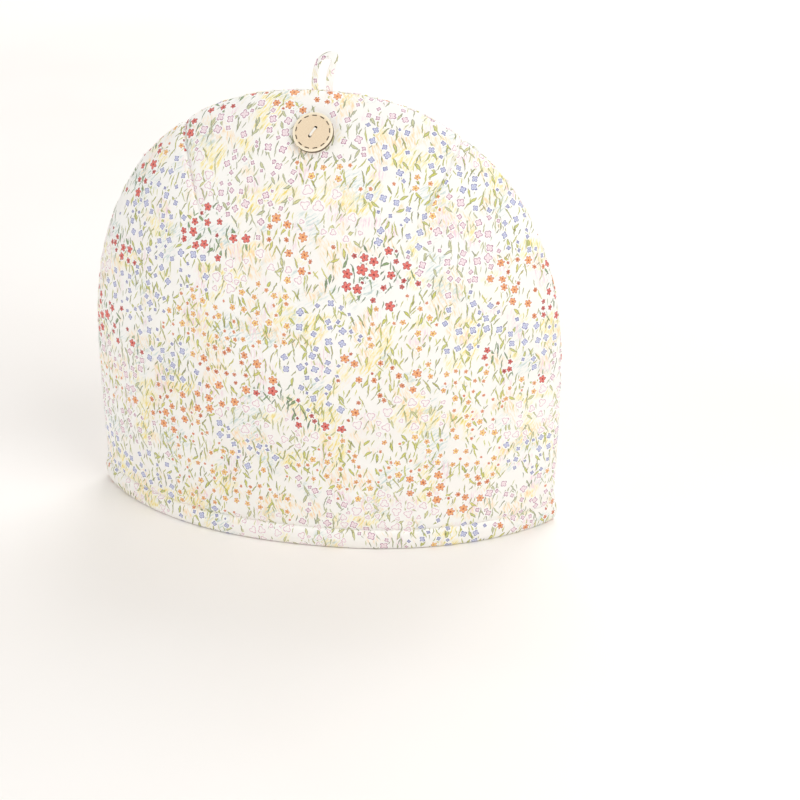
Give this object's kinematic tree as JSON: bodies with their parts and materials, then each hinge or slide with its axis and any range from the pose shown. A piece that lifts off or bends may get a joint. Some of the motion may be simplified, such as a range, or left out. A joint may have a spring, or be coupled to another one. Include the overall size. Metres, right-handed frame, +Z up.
{
  "type": "tea cosy",
  "caption": "Padded dome-shaped tea cosy of printed cotton with darted top, turned hem, plain lining, hanging loop and round wooden button.",
  "frame": {"origin": "middle of the opening, on the surface that the hem rests on", "axes": "+Z up from the hem to the top seam, +X along the hem to the right as seen from the front, -Y out of the front panel with the button"},
  "size_m": [0.2806, 0.1286, 0.2787],
  "materials": {
    "printed_cotton": "smooth white cotton with a small multicoloured flower print",
    "lining_cotton": "plain cream cotton",
    "button_wood": "pale wood face with a dark burnt edge"
  },
  "bodies": {
    "root": {"front_panel": "printed_cotton", "back_panel": "printed_cotton", "front_lining": "lining_cotton", "back_lining": "lining_cotton", "hanging_loop": "printed_cotton", "button": "button_wood"}
  },
  "joints": []
}
